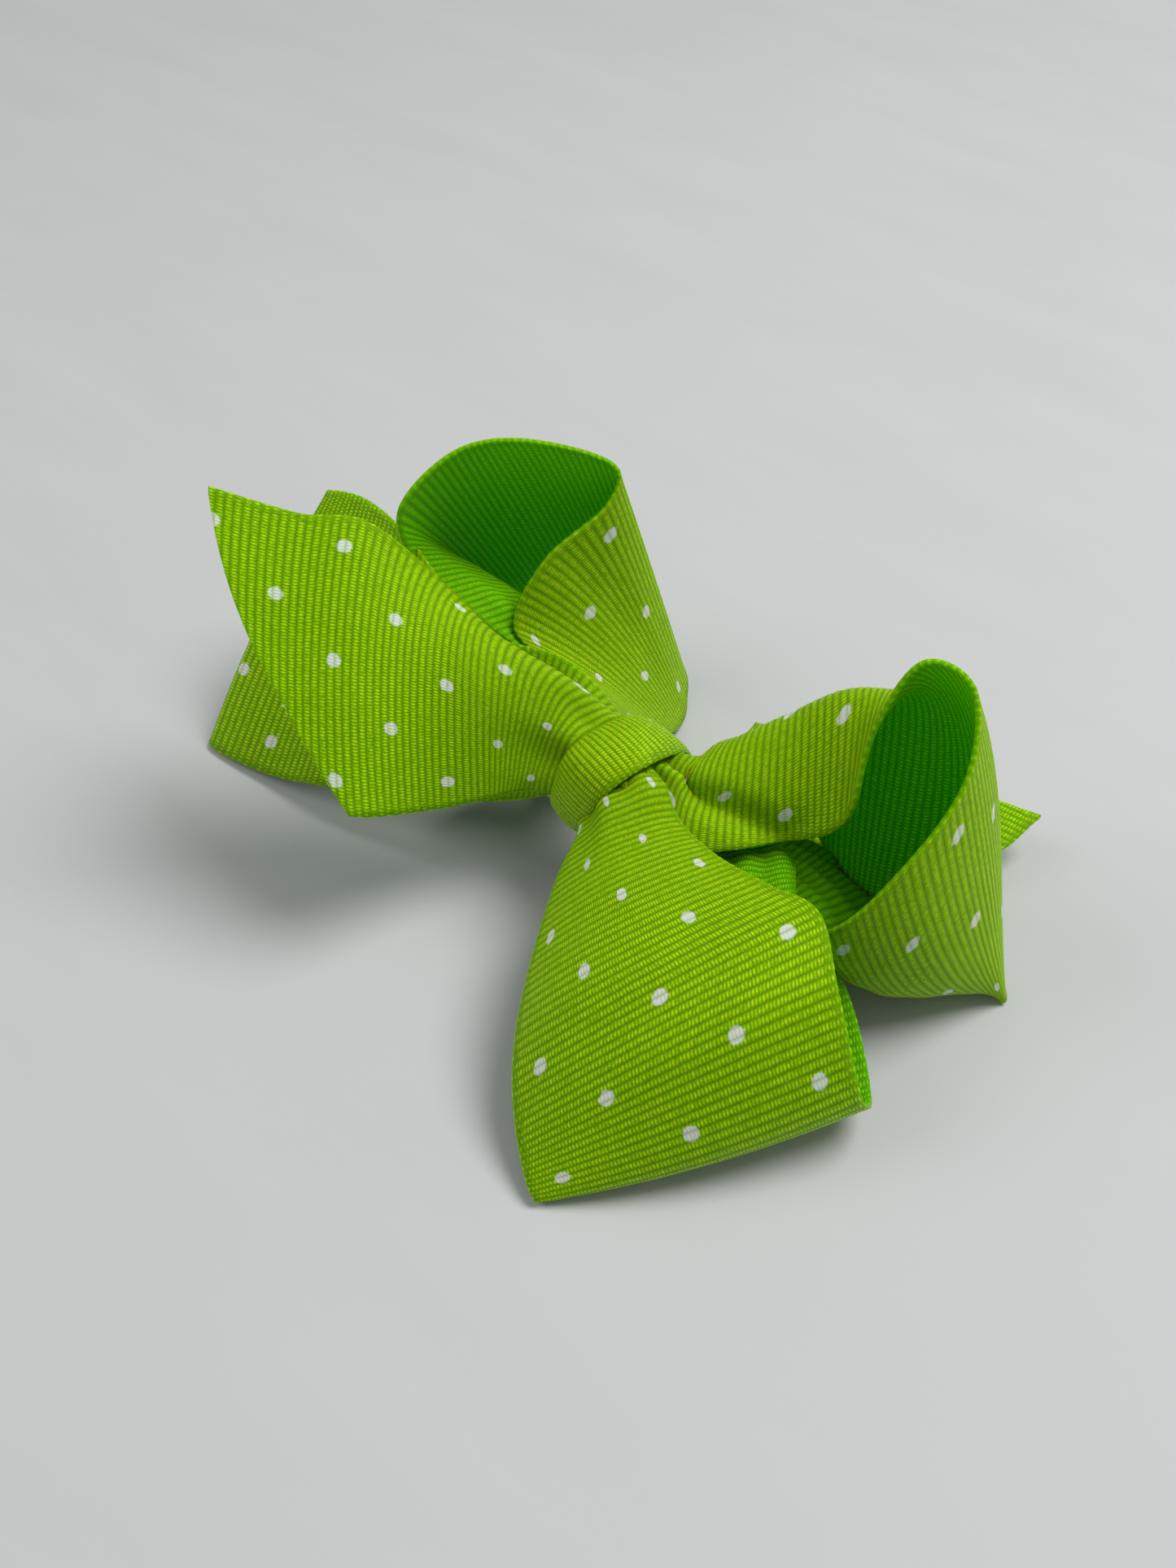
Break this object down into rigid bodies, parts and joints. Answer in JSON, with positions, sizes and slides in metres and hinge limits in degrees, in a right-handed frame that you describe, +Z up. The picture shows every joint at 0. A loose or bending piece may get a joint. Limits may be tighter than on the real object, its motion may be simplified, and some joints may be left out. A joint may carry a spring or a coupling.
{
  "type": "hair bow",
  "caption": "Boutique hair bow of wide dotted grosgrain ribbon, folded into four loops and two tails, gathered under a narrow wrap and fixed on a sprung alligator clip.",
  "frame": {"origin": "middle of the bow's footprint, on the surface that the bow stands on", "axes": "+X along the bow, from the cut tail's side to the folded loops' side; -Y is its front; +Z up, out of the hair"},
  "size_m": [0.1118, 0.0844, 0.0473],
  "materials": {
    "dotted_ribbon": "ribbed grosgrain, printed with white dots on its outer face",
    "narrow_ribbon": "plain ribbed grosgrain",
    "thread": "waxed polyester",
    "hot_glue": "translucent hot glue",
    "clip_steel": "nickel plated",
    "spring_wire": "drawn wire"
  },
  "bodies": {
    "bow": {"tail_front": "dotted_ribbon", "loop_front_left": "dotted_ribbon", "loop_back_left": "dotted_ribbon", "loop_front_right": "dotted_ribbon", "loop_back_right": "dotted_ribbon", "tail_back": "dotted_ribbon", "gathered_middle": "dotted_ribbon", "binding_thread": "thread", "thread_knot": "thread", "centre_wrap": "narrow_ribbon", "wrap_glue": "hot_glue", "clip_glue": "hot_glue", "clip_upper_arm": "clip_steel", "clip_hinge_pin": "clip_steel", "clip_spring": "spring_wire"},
    "lower_jaw": {"clip_lower_arm": "clip_steel", "clip_lining": "narrow_ribbon"}
  },
  "joints": [
    {"name": "clip_jaw", "type": "hinge", "parent": "bow", "child": "lower_jaw", "pos_m": [0.0151, 0.0021, 0.0096], "axis": [0, -1, 0], "range_deg": [0, 18], "stiffness_Nm_per_rad": 0.03, "springref_deg": -45.84}
  ]
}
